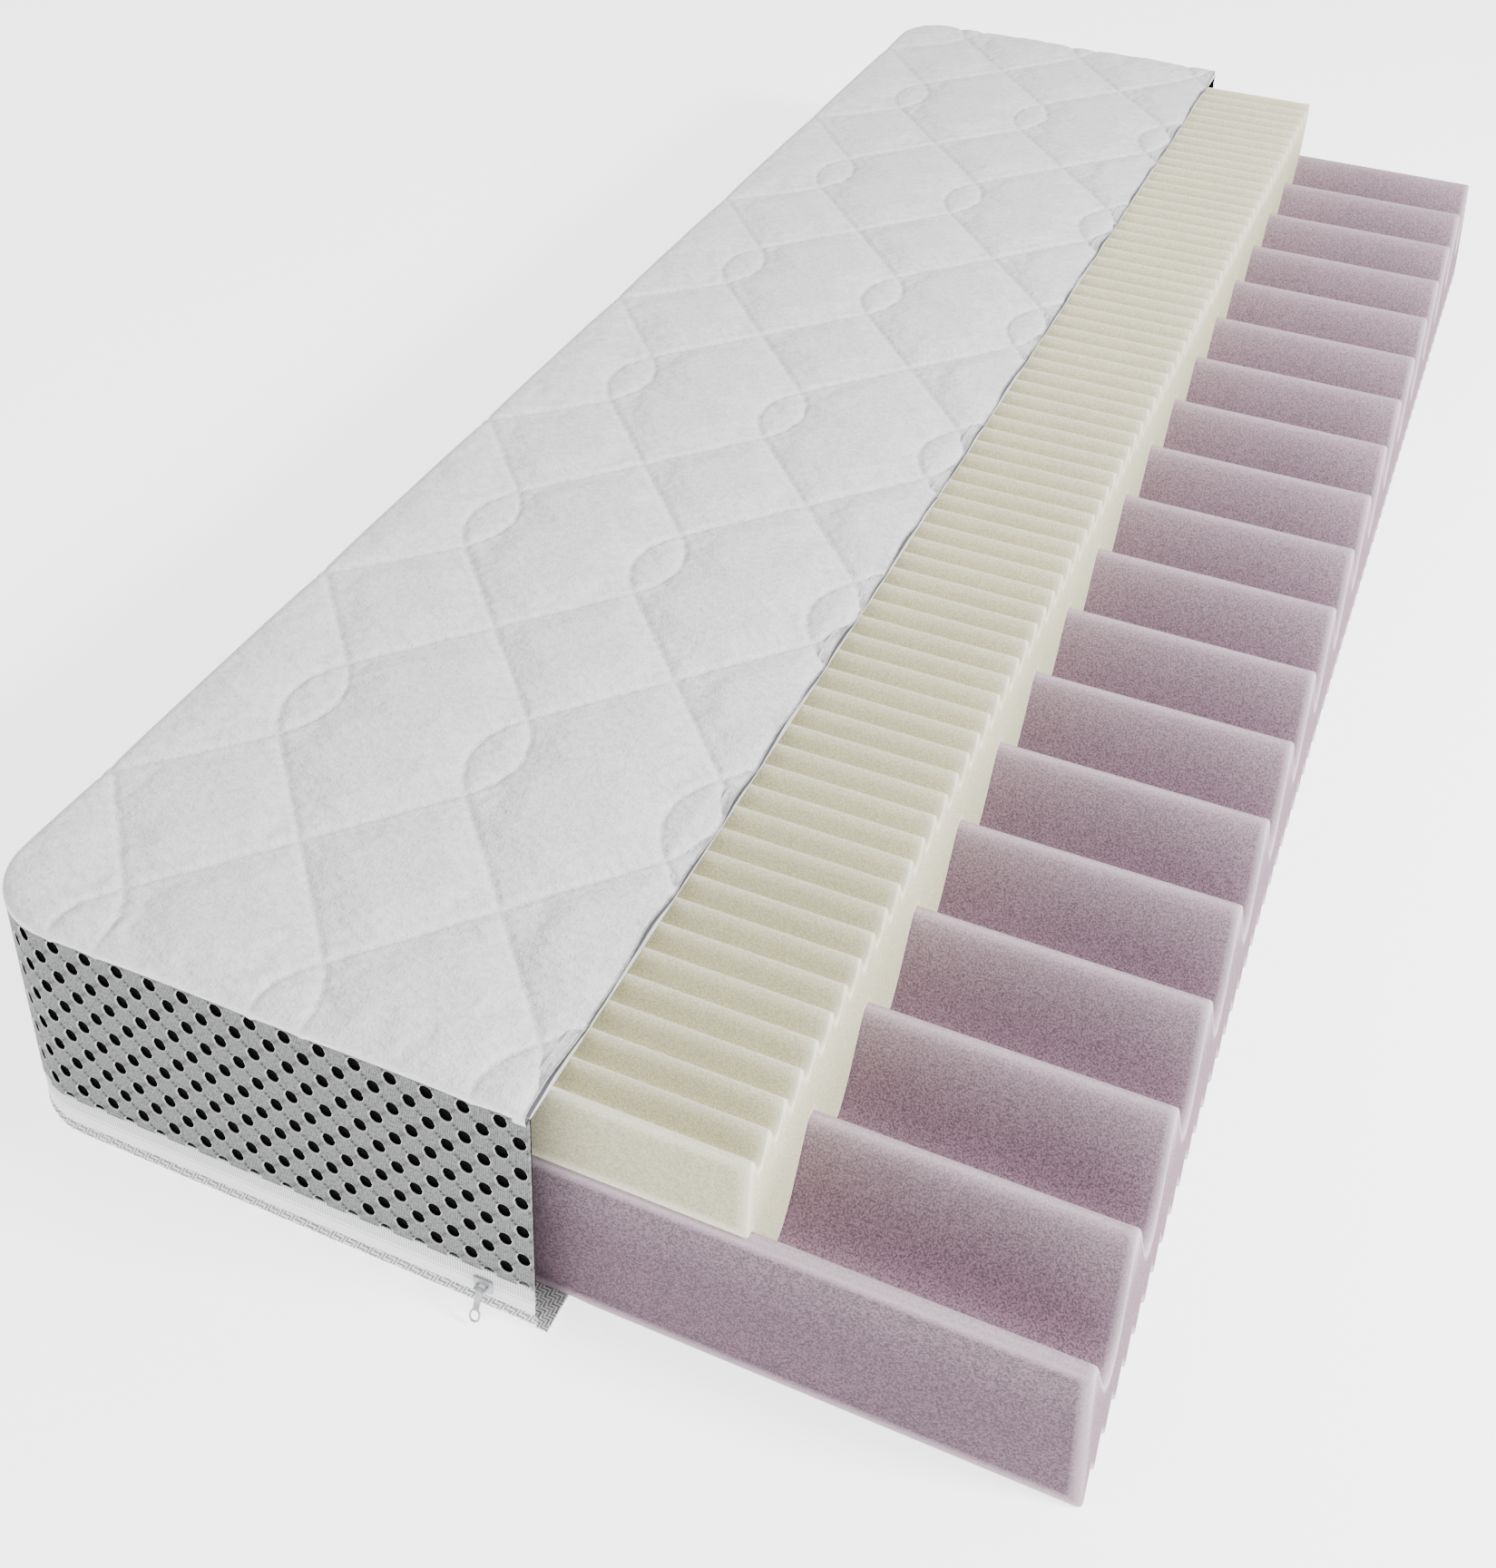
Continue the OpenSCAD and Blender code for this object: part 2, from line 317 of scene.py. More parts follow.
def spacer_mesh_material():
    """Grey spacer mesh: a pale painted highlight on the rims round the holes, dotted stitch lines from hole
    to hole.
    """
    shade = Shader("spacer_mesh", 0.9, Sheen_Weight=0.15, Specular_IOR_Level=0.25)
    along, across = shade.cloth()
    p = shade.math("DIVIDE", along, HOLE_PITCH)
    q = shade.math("DIVIDE", across, HOLE_ROW)
    a = shade.math("MULTIPLY", shade.math("ADD", p, q), 0.5)
    b = shade.math("MULTIPLY", shade.math("SUBTRACT", p, q), 0.5)
    fa = shade.math("SUBTRACT", shade.math("FRACT", shade.math("ADD", a, 0.5)), 0.5)
    fb = shade.math("SUBTRACT", shade.math("FRACT", shade.math("ADD", b, 0.5)), 0.5)
    dx = shade.math("MULTIPLY", shade.math("ADD", fa, fb), HOLE_PITCH / HOLE_W)
    dz = shade.math("MULTIPLY", shade.math("SUBTRACT", fa, fb), HOLE_ROW / HOLE_H)
    square = shade.math("ADD", shade.math("MULTIPLY", dx, dx), shade.math("MULTIPLY", dz, dz))
    ring = shade.math("SQRT", square)
    rim = shade.smooth(ring, 1.0, 1.14, 1.0, 0.0)
    ladder = shade.smooth(shade.math("ABSOLUTE", fa), 0.10, 0.15, 1.0, 0.0)
    dotted = shade.smooth(shade.math("ABSOLUTE", fb), 0.055, 0.095, 1.0, 0.0)
    rungs = shade.smooth(shade.stripes(b, 1 / 9.0), 0.35, 0.7)
    dots = shade.smooth(shade.stripes(a, 1 / 6.0), 0.1, 0.45)
    seam = shade.smooth(shade.math("ABSOLUTE", fa), 0.02, 0.05, 0.75, 0.0)
    marks = shade.math("MAXIMUM", shade.math("MULTIPLY", ladder, shade.math("MULTIPLY", rungs, 0.6)),
                       shade.math("MAXIMUM", seam, shade.math("MULTIPLY", dotted, dots)))
    ribs = shade.stripes(along, 1.1 * MM)
    fuzz = shade.noise(shade.place(), 460.0, 3.0, 0.7)
    weave = shade.math("ADD", shade.math("MULTIPLY", ribs, 0.3), shade.math("MULTIPLY", fuzz, 0.95))
    colour = shade.mix(shade.smooth(weave, 0.48, 0.8), (0.052, 0.055, 0.054), (0.245, 0.257, 0.25))
    colour = shade.mix(shade.math("MULTIPLY", marks, 0.9), colour, (0.03, 0.03, 0.033))
    # Painted highlight: the rim round each hole is mixed towards pale grey.
    colour = shade.mix(shade.math("MULTIPLY", rim, 0.6), colour, (0.80, 0.80, 0.79))
    torn = shade.math("MULTIPLY", shade.noise(shade.place(), 140.0, 2.0), -2.4 * MM)
    ragged = shade.smooth(shade.math("ADD", across, torn), -0.9 * MM, 0.5 * MM, 0.9, 0.0)
    colour = shade.mix(ragged, colour, (0.03, 0.03, 0.033))
    height = shade.math("SUBTRACT", shade.math("MULTIPLY", weave, 0.4), marks)
    return shade.finish(colour, shade.bump(height, 0.6 * MM, 0.8))


def ribbed_tape_material():
    """White woven tape: fine upright ribs that fade out towards its lower, smooth half."""
    shade = Shader("zipper_tape", 0.8, Sheen_Weight=0.1, Specular_IOR_Level=0.3)
    along = shade.cloth()[0]
    split = shade.node("ShaderNodeSeparateXYZ", {0: shade.place()})
    ribs = shade.stripes(along, 1.9 * MM)
    fade = shade.smooth(split.outputs[2], tape_up_low.z, tape_up_low.z + 3 * MM)
    rows = shade.stripes(split.outputs[2], 1.6 * MM)
    weave = shade.noise(shade.place(), 700.0, 2.0)
    lines = shade.math("MULTIPLY", ribs, fade)
    colour = shade.mix(lines, (0.86, 0.86, 0.87), (0.33, 0.34, 0.35))
    shadow = shade.math("MULTIPLY", shade.math("MULTIPLY", rows, weave), 0.25)
    colour = shade.mix(shadow, colour, (0.66, 0.67, 0.68))
    height = shade.math("ADD", lines, shade.math("MULTIPLY", weave, 0.3))
    return shade.finish(colour, shade.bump(height, 0.4 * MM, 0.7))


def chevron_knit_material():
    """Grey-white knit with rows of slanting stitches that turn from row to row."""
    shade = Shader("bottom_knit", 0.9, Sheen_Weight=0.15, Specular_IOR_Level=0.2)
    split = shade.node("ShaderNodeSeparateXYZ", {0: shade.place()})
    x, y, z = split.outputs
    lap = shade.math("ADD", x, y)
    down = shade.math("ADD", z, shade.math("SUBTRACT", y, x))
    row = 5.2 * MM
    zigzag = shade.math("PINGPONG", shade.math("ADD", down, 10 * row), row)
    strokes = shade.stripes(shade.math("ADD", lap, zigzag), 4.6 * MM)
    yarn = shade.noise(shade.place(), 480.0, 2.0)
    mark = shade.math("MULTIPLY", shade.smooth(strokes, 0.35, 0.8),
                      shade.smooth(yarn, 0.25, 0.6, 0.45, 1.0))
    colour = shade.mix(mark, (0.68, 0.68, 0.68), (0.14, 0.14, 0.145))
    return shade.finish(colour, shade.bump(mark, 0.7 * MM, 0.8))


def plain_fibre_material(name, low, high, scale, sheen=0.2, up_facing_shade=None):
    """Loose or felted fibre; where it faces up it takes the given colour of painted shade, if one is given.
    """
    shade = Shader(name, 0.95, Sheen_Weight=sheen, Specular_IOR_Level=sheen)
    fibre = shade.noise(shade.place((1.0, 0.35, 2.5)), scale, 4.0, 0.65)
    colour = shade.mix(shade.smooth(fibre, 0.3, 0.7), low, high)
    if up_facing_shade:
        normal = shade.node("ShaderNodeNewGeometry").outputs["Normal"]
        facing = shade.node("ShaderNodeSeparateXYZ", {0: normal})
        colour = shade.mix(shade.smooth(facing.outputs[2], 0.4, 0.7), colour, up_facing_shade)
    return shade.finish(colour, shade.bump(fibre, 0.8 * MM, 0.7))


def metal_material():
    """Pale grey lacquered die-casting, a little worn in patches."""
    shade = Shader("slider_metal", 0.34, Metallic=0.35, Specular_IOR_Level=0.5)
    grain = shade.noise(shade.place(), 900.0, 2.0)
    worn = shade.noise(shade.place(), 160.0, 3.0)
    colour = shade.mix(shade.smooth(worn, 0.35, 0.7), (0.30, 0.31, 0.33), (0.42, 0.43, 0.45))
    shade.put(shade.principled.inputs["Roughness"], shade.smooth(worn, 0.3, 0.7, 0.28, 0.42))
    return shade.finish(colour, shade.bump(grain, 0.05 * MM, 0.4))


# Each foam's colours hold painted light: a shaded low colour, a lit high colour, a painted edge highlight
# colour, and a last number that darkens the cut faces as painted shade.
LILAC = foam_material("lilac_foam", (0.180, 0.112, 0.148), (0.252, 0.178, 0.217), (0.57, 0.475, 0.525),
                      CORE_H - WAVE_DEPTH, CORE_H, 760.0, 0.58, 0.68)
CREAM = foam_material("cream_foam", (0.53, 0.508, 0.335), (0.645, 0.622, 0.43), (0.75, 0.735, 0.58),
                      cream_high.z - RIDGE_DEPTH, cream_high.z, 820.0, 0.80, 0.84)
KNIT = quilt_knit_material()
SPACER = spacer_mesh_material()
TAPE = ribbed_tape_material()
CHEVRON = chevron_knit_material()
DARK = plain_fibre_material("mesh_lining", (0.001, 0.001, 0.0012), (0.004, 0.004, 0.0045), 500.0, 0.02)
# The wadding's up-facing top is painted nearly black as shade in the slit under the knit's lip.
WADDING = plain_fibre_material("wadding", (0.40, 0.41, 0.43), (0.60, 0.61, 0.63), 260.0,
                               up_facing_shade=(0.09, 0.09, 0.10))
BACKING = plain_fibre_material("quilt_backing", (0.55, 0.56, 0.58), (0.70, 0.71, 0.73), 300.0)
THREAD = plain_fibre_material("quilting_thread", (0.62, 0.62, 0.63), (0.76, 0.76, 0.76), 900.0)
NYLON = plain_fibre_material("zipper_coil", (0.70, 0.70, 0.71), (0.80, 0.80, 0.80), 600.0)
METAL = metal_material()


# ---------------------------------------------------------------- foam
def wave_drop(u):
    """Drop below a crest, 0 to 1, u waves along: a flat crest, steep flanks, a rounded valley."""
    t = np.abs(u - np.round(u))
    w = np.maximum(0, (t - CREST_HALF) / (0.5 - CREST_HALF)) ** SLOPE_POWER
    return np.sin(math.pi / 2 * w) ** 2


def core_top(u):
    return CORE_H - WAVE_DEPTH * wave_drop(u)


def foam_block(name, x0, x1, low, high, crest_highlight, samples, material, body, slot, node, arris=3 * MM,
               lie=None, draw_in=0.0):
    """A foam slab along Y between two height functions of the wave number, with its edges eased.

    The cloth map holds the painted highlight, strongest near an edge or a crest, and the painted shade on a
    cut face."""
    y0, y1 = core_low.y, core_high.y
    band_w = 8 * MM
    turn = np.linspace(0, math.pi / 2, 4)[:-1]
    lead = np.concatenate([[0], arris * (1 - np.cos(turn))])
    squeeze = np.concatenate([[arris + band_w], arris * (1 - np.sin(turn))])
    u = np.linspace(0, WAVES, WAVES * samples + 1)
    y = np.concatenate([y0 + lead, y0 + arris + (y1 - y0 - 2 * arris) * u / WAVES, (y1 - lead)[::-1]])
    u = np.concatenate([np.zeros(len(lead)), u, np.full(len(lead), WAVES)])
    shrink = np.concatenate([squeeze, np.zeros(len(u) - 2 * len(lead)), squeeze[::-1]])
    zl, zh = low(u) + shrink, high(u) - shrink
    across = np.concatenate([[x0 + arris, x0 + 8 * MM], np.linspace(x0 + 20 * MM, x1 - 20 * MM, 22),
                             [x1 - 8 * MM, x1 - arris]])
    if lie:
        across = np.sort(np.concatenate([across, [lie[0] - 0.1 * MM, lie[0] + 0.1 * MM]]))
    bends = [(1 - math.sin(a), 1 - math.cos(a)) for a in (math.pi / 6, math.pi / 3)]
    ring = [(x, 0, 0.0) for x in across]
    ring += [(x1 - arris * p, 0, arris * q) for p, q in bends]
    ring += [(x1, 0, arris), (x1, 0, arris + 6 * MM), (x1, 0.3, 0), (x1, 0.7, 0)]
    ring += [(x1, 1, -arris - 6 * MM), (x1, 1, -arris)]
    ring += [(x1 - arris * q, 1, -arris * p) for p, q in bends]
    ring += [(x, 1, 0.0) for x in across[::-1]]
    ring += [(x0 + arris * p, 1, -arris * q) for p, q in bends]
    ring += [(x0, 1, -arris), (x0, 0.5, 0), (x0, 0, arris)]
    ring = np.array(ring)
    middle = (x0 + x1) / 2
    x = ring[:, 0][None, :] + np.sign(middle - ring[:, 0])[None, :] * np.minimum(
        shrink[:, None], np.abs(middle - ring[:, 0])[None, :])
    z = zl[:, None] + (zh - zl)[:, None] * ring[:, 1][None, :] + ring[:, 2][None, :]
    if lie:
        z = np.where(x < lie[0], np.maximum(z, lie[1]), z)
    x = x - draw_in * np.clip((x - x1) / (60 * MM) + 1, 0, 1) * z / core_high.z
    points = np.stack([x, np.broadcast_to(y[:, None], x.shape), z], -1)
    # Painted highlight weights: near the arrises, the two ends and the crests.
    side = np.minimum(x1 - ring[:, 0], ring[:, 0] - x0)
    by_ring = np.exp(-np.maximum(np.where(side > 0, side, np.abs(ring[:, 2])) - arris, 0) / (2.2 * MM))
    by_ring = np.where((side == 0) & (ring[:, 2] == 0), 0.0, by_ring)
    by_end = np.exp(-np.minimum(y - y0, y1 - y) / (3 * MM))
    by_crest = crest_highlight(u)[:, None] * (ring[:, 1] == 1)[None, :]
    edge_highlight = np.maximum(np.maximum(by_ring[None, :], by_end[:, None]), by_crest)
    edge_highlight[[0, -1]] = 0
    # Painted shade weights: the end caps fully, the right side face in part.
    cut_face_shade = np.where(ring[:, 0] == x1, 0.35, 0.0)[None, :] + np.zeros_like(edge_highlight)
    cut_face_shade[[0, -1]] = 1
    uv = np.stack([edge_highlight, cut_face_shade], -1).reshape(-1, 2)
    rows, cols = points.shape[:2]
    faces = [list(f) for f in grid_faces(rows, cols, wrap=True)]
    faces += [list(range(cols)), list(range((rows - 1) * cols, rows * cols))]
    obj = make_piece(name, points.reshape(-1, 3), faces, material, body, slot, uv, replaces=(node,))
    fix_normals(obj)
    shade_by_angle(obj, 40)
    return obj


def teeth(u):
    """Height of the toothed underside of the core."""
    t = (u * FINE_PER_WAVE) % 1.0
    return TOOTH_DEPTH * (1 - np.abs(2 * t - 1))


def ridges(u):
    """Height of the ridged top of the cream layer."""
    return cream_high.z - RIDGE_DEPTH * wave_drop(u * FINE_PER_WAVE)


PRESSED = (bottom_high.x + FOAM_GAP, bottom_low.z + 3 * MM + FOAM_GAP)


def wave_crest_highlight(u):
    """Painted highlight on the core, 1 at most, within a few millimetres of a crest."""
    return 0.8 * np.exp(-np.abs(u - np.round(u)) * WAVE_PITCH / (7 * MM))


def ridge_crest_highlight(u):
    """Painted highlight on the cream layer, 1 at most, close to a ridge."""
    v = u * FINE_PER_WAVE
    return 0.7 * np.exp(-np.abs(v - np.round(v)) * WAVE_PITCH / FINE_PER_WAVE / (2.5 * MM))


foam_block("lilac_core", core_low.x, core_high.x, teeth, core_top, wave_crest_highlight, 32, LILAC,
           "mattress", "lilac_foam", "lilac_foam_core", lie=PRESSED, draw_in=10 * MM)
foam_block("cream_layer", cream_low.x, cream_high.x, lambda u: core_top(u) + FOAM_GAP, ridges,
           ridge_crest_highlight, 48, CREAM, "mattress", "cream_foam", "cream_foam_layer", 2 * MM)

# ---------------------------------------------------------------- quilted panel
QUILT_X = 162.5 * MM
QUILT_Y = 286.5 * MM
QUILT_AT = (COVER_LEFT + 88 * MM, -132 * MM)
LENS_HALF_W = 20 * MM
LENS_HALF_H = 49 * MM
EDGE_T = np.array([0, 2, 4, 6, 9, 14, 22, 34, 48, 64, 90]) * MM
EDGE_INSET = np.array([0.4, -0.4, -0.6, 0.0, 2.2, 7.0, 16, 30, 46, 63.5, 90]) * MM
EDGE_RISE = np.array([-8.6, -6.5, -3.6, -0.6, 1.8, 3.6, 4.2, 3.4, 1.6, 0.4, 0]) * MM


def lens_x(y):
    return LENS_HALF_W * (1 - (y / LENS_HALF_H) ** 2)


def stitch_distance(x, y):
    """Distance in plan to the nearest quilting line: diamonds that pinch into pointed lenses."""
    fx = np.abs((x - QUILT_AT[0] + QUILT_X / 2) % QUILT_X - QUILT_X / 2)
    fy = np.abs((y - QUILT_AT[1] + QUILT_Y / 2) % QUILT_Y - QUILT_Y / 2)
    heights = np.linspace(0, LENS_HALF_H, 7)
    line = [(lens_x(h), h) for h in heights] + [(QUILT_X / 2, QUILT_Y / 2)]
    best = np.full(np.shape(fx), 1.0)
    for (ax, ay), (bx, by) in zip(line[:-1], line[1:]):
        dx, dy = bx - ax, by - ay
        t = np.clip(((fx - ax) * dx + (fy - ay) * dy) / (dx * dx + dy * dy), 0, 1)
        best = np.minimum(best, np.hypot(fx - ax - t * dx, fy - ay - t * dy))
    return best


def edge_distance(gx, gy):
    """Distance in from the cover's closed outline, for points of a square grid, and where they go.

    The grid's two left corners are bent on to the outline's round ones."""
    ax = np.clip((COVER_LEFT + CORNER_R - gx) / CORNER_R, 0, None)
    ay = np.clip((np.abs(gy) - (HALF_L - CORNER_R)) / CORNER_R, 0, None)
    both = (ax > 0) & (ay > 0)
    far = np.maximum(ax, ay)
    turn = np.where(ax >= ay, math.pi / 4 * ay / np.maximum(ax, 1e-9),
                    math.pi / 2 - math.pi / 4 * ax / np.maximum(ay, 1e-9))
    t = np.minimum(gx - COVER_LEFT, HALF_L - np.abs(gy))
    t = np.where(both, CORNER_R * (1 - far), t)
    return np.maximum(t, 0), both, turn


def panel_surface(gx, gy, lift):
    """Points of the panel's top over a square grid; lift(x, y, t) is its height above TOP_Z."""
    t, both, turn = edge_distance(gx, gy)
    inset = np.interp(t, EDGE_T, EDGE_INSET)
    reach = CORNER_R - inset
    cx, cy = COVER_LEFT + CORNER_R, HALF_L - CORNER_R
    side = gx - COVER_LEFT <= HALF_L - np.abs(gy)
    x = np.where(side & (t < EDGE_T[-1]), COVER_LEFT + inset, gx)
    y = np.where(~side & (t < EDGE_T[-1]), np.sign(gy) * (HALF_L - inset), gy)
    x = np.where(both, cx - reach * np.cos(turn), x)
    y = np.where(both, np.sign(gy) * (cy + reach * np.sin(turn)), y)
    z = TOP_Z + np.interp(t, EDGE_T, EDGE_RISE) + lift(x, y, t)
    return np.stack([x, y, z], -1)


def panel_grid(step, x1):
    xs = np.linspace(COVER_LEFT, x1, int(round((x1 - COVER_LEFT) / step)) + 1)
    ys = np.linspace(-HALF_L, HALF_L, int(round(2 * HALF_L / step)) + 1)
    return np.meshgrid(xs, ys)


PUFF = 4.8 * MM
GROOVE = 1.5 * MM
GROOVE_W = 2.3 * MM


def formula_puff(x, y):
    """Pillowed height between the quilting lines."""
    d = stitch_distance(x, y)
    return PUFF * (1 - np.exp(-d / (20 * MM))) - PUFF


def simulated_puff():
    """Blows the cloth up between its pinned quilting lines and returns its height over the plan."""
    gx, gy = panel_grid(7 * MM, COVER_CUT)
    flat = np.stack([gx, gy, np.zeros_like(gx)], -1)
    rows, cols = gx.shape
    mesh = bpy.data.meshes.new("sim")
    mesh.from_pydata(flat.reshape(-1, 3).tolist(), [], grid_faces(rows, cols).tolist())
    obj = bpy.data.objects.new("sim", mesh)
    bpy.context.scene.collection.objects.link(obj)
    held = np.exp(-(stitch_distance(gx, gy) / (3.2 * MM)) ** 2)
    rim = np.minimum.reduce([gx - COVER_LEFT, HALF_L - np.abs(gy)]) < 4 * MM
    held = np.where(rim, 1.0, held).ravel()
    group = obj.vertex_groups.new(name="pin")
    for i in np.flatnonzero(held > 0.3):
        group.add([int(i)], float(held[i]), "REPLACE")
    cloth = obj.modifiers.new("Cloth", "CLOTH")
    s = cloth.settings
    s.quality, s.mass, s.air_damping = 6, 0.25, 3.0
    s.tension_stiffness, s.compression_stiffness, s.shear_stiffness = 18.0, 12.0, 6.0
    s.bending_stiffness = 0.6
    s.vertex_group_mass = "pin"
    s.pin_stiffness = 4.0
    s.shrink_min = -0.035
    s.use_pressure = True
    s.uniform_pressure_force = 3.0
    s.effector_weights.gravity = 0.0
    cloth.collision_settings.use_collision = False
    scene = bpy.context.scene
    scene.frame_start, scene.frame_end = 1, 24
    cloth.point_cache.frame_start, cloth.point_cache.frame_end = 1, 24
    for number in range(1, 25):
        scene.frame_set(number)
    shaped = obj.evaluated_get(bpy.context.evaluated_depsgraph_get()).data
    co = np.zeros(len(shaped.vertices) * 3, np.float32)
    shaped.vertices.foreach_get("co", co)
    scene.frame_set(1)
    bpy.data.objects.remove(obj)
    height = co.reshape(rows, cols, 3)[:, :, 2].astype(float)
    print("simulated puff, mm:", np.round(np.percentile(height, [0, 5, 50, 95, 100]) * 1000, 2))
    height = np.clip(np.abs(height), 0, 2.2 * PUFF)
    return gx[0], gy[:, 0], height


def bilinear(xs, ys, field, x, y):
    """field over the regular grid xs by ys, read at x, y."""
    fx = np.clip((x - xs[0]) / (xs[1] - xs[0]), 0, len(xs) - 1.001)
    fy = np.clip((y - ys[0]) / (ys[1] - ys[0]), 0, len(ys) - 1.001)
    i, j = fx.astype(int), fy.astype(int)
    a, b = fx - i, fy - j
    return ((field[j, i] * (1 - a) + field[j, i + 1] * a) * (1 - b)
            + (field[j + 1, i] * (1 - a) + field[j + 1, i + 1] * a) * b)


sim_x, sim_y, sim_h = simulated_puff()

def puff(x, y):
    raw = bilinear(sim_x, sim_y, sim_h, x, y)
    blown = 0.5 * np.clip((COVER_CUT - x) / (50 * MM), 0, 1)
    return (1 - blown) * formula_puff(x, y) + blown * (raw - PUFF)


def panel_lift(x, y, t):
    """Puff and stitched groove, faded out over the panel's rolled edge."""
    fade = np.clip((t - 4 * MM) / (22 * MM), 0, 1)
    groove = -GROOVE * np.exp(-(stitch_distance(x, y) / GROOVE_W) ** 2)
    cut = np.clip((COVER_CUT - x) / (12 * MM), 0, 1)
    ripple = 1.0 * MM * (1 - cut) * (np.sin(y * 52) + 0.5 * np.sin(y * 131 + 2))
    return (puff(x, y) + groove) * (0.6 + 0.4 * fade) + ripple


FACE_T = 1.1 * MM
gx, gy = panel_grid(2.1 * MM, COVER_CUT)
top = panel_surface(gx, gy, panel_lift)
by_cut = np.clip(1 - (COVER_CUT - gx) / (10 * MM), 0, 1)
top[..., 0] -= 0.6 * MM * by_cut * (2 + np.sin(gy * 37) + np.sin(gy * 83 + 1))
rows, cols = gx.shape
lip_down = top[:, -1] - np.array([0, 0, FACE_T])
lip_back = lip_down - np.array([9 * MM, 0, 0.2 * MM])
quilt_points = np.concatenate([top.reshape(-1, 3), lip_down, lip_back])
lip = rows * cols
edge = np.arange(rows - 1)
lip_faces = [np.stack([edge * cols + cols - 1, (edge + 1) * cols + cols - 1, lip + edge + 1, lip + edge], -1),
             np.stack([lip + edge, lip + edge + 1, lip + rows + edge + 1, lip + rows + edge], -1)]
quilt_faces = np.concatenate([grid_faces(rows, cols)] + lip_faces)
quilt = make_piece("quilted_panel", quilt_points, quilt_faces, KNIT, "top_cover", "quilted_knit",
                   replaces=("quilted_top_fabric",))

# The wadding and backing show at the cut and from below
SET_BACK = 0.2 * MM
WADDING_DROP = 1.7 * MM


def slab(name, step, top_of, z0, x1, inset, material, slot, node):
    """A closed slab under the panel: its top follows top_of, its underside is nearly flat."""
    gx, gy = panel_grid(step, x1)
    upper = top_of(gx, gy)
    upper[..., 0] = np.where(gx < x1 - 1e-6, np.maximum(upper[..., 0], COVER_LEFT + inset), upper[..., 0])
    upper[..., 1] = np.clip(upper[..., 1], -HALF_L + inset, HALF_L - inset)
    lower = upper.copy()
    lower[..., 2] = z0 + 0.25 * MM * np.sin(upper[..., 1] * 60) * np.cos(upper[..., 0] * 45)
    upper[..., 2] = np.maximum(upper[..., 2], lower[..., 2] + 0.8 * MM)
    obj = make_piece(name, *closed_slab(upper, lower), material, "top_cover", slot, replaces=(node,))
    fix_normals(obj)
    shade_by_angle(obj, 40)
    return obj


def under_panel(gx, gy):
    """Top of the wadding, far enough under the knit not to show through its grooves."""
    return panel_surface(gx, gy, lambda x, y, t: panel_lift(x, y, t) - FACE_T - WADDING_DROP)


wadding = slab("wadding_layer", 8 * MM, under_panel, wadding_low.z, COVER_CUT - SET_BACK, 2.4 * MM,
               WADDING, "wadding", "quilt_wadding")


def backing_top(gx, gy):
    """Flat top of the backing, just under the wadding."""
    surface = panel_surface(gx, gy, lambda x, y, t: 0 * x)
    surface[..., 2] = backing_high.z - 0.05 * MM
    return surface


backing = slab("backing_layer", 14 * MM, backing_top, backing_low.z, COVER_CUT - 0.4 * MM, 4.6 * MM,
               BACKING, "quilt_backing", "quilt_backing_fabric")


# Stitches of the quilting thread
def quilt_lines():
    """Plan polylines of the quilting, over more than the panel."""
    lines = []
    heights = np.linspace(-LENS_HALF_H, LENS_HALF_H, 15)
    for i in range(-1, 4):
        for j in range(-5, 6):
            cx, cy = QUILT_AT[0] + i * QUILT_X, QUILT_AT[1] + j * QUILT_Y
            for side in (-1, 1):
                lines.append([(cx + side * lens_x(h), cy + h) for h in heights])
                for up in (-1, 1):
                    lines.append([(cx, cy + up * LENS_HALF_H),
                                  (cx + side * QUILT_X / 2, cy + up * QUILT_Y / 2)])
    return lines


STITCH = 4.2 * MM
STITCH_L = 3.2 * MM
STITCH_R = 0.34 * MM


def stitch_points():
    """Middle and direction, in plan, of each stitch that lies on the panel."""
    middles, ways = [], []
    for line in quilt_lines():
        line = np.array(line)
        steps = np.hypot(*np.diff(line, axis=0).T)
        along = np.concatenate([[0], np.cumsum(steps)])
        count = int(along[-1] // STITCH)
        at = (np.arange(count) + 0.5) * along[-1] / count
        middles.append(np.stack([np.interp(at, along, line[:, k]) for k in (0, 1)], -1))
        ahead = np.stack([np.interp(at + 1 * MM, along, line[:, k]) for k in (0, 1)], -1)
        behind = np.stack([np.interp(at - 1 * MM, along, line[:, k]) for k in (0, 1)], -1)
        ways.append(ahead - behind)
    middles, ways = np.concatenate(middles), np.concatenate(ways)
    ways /= np.linalg.norm(ways, axis=1)[:, None]
    t = edge_distance(middles[:, 0], middles[:, 1])[0]
    keep = (t > 24 * MM) & (middles[:, 0] > COVER_LEFT) & (middles[:, 0] < COVER_CUT - 4 * MM)
    keep &= np.abs(middles[:, 1]) < HALF_L
    return middles[keep], ways[keep]


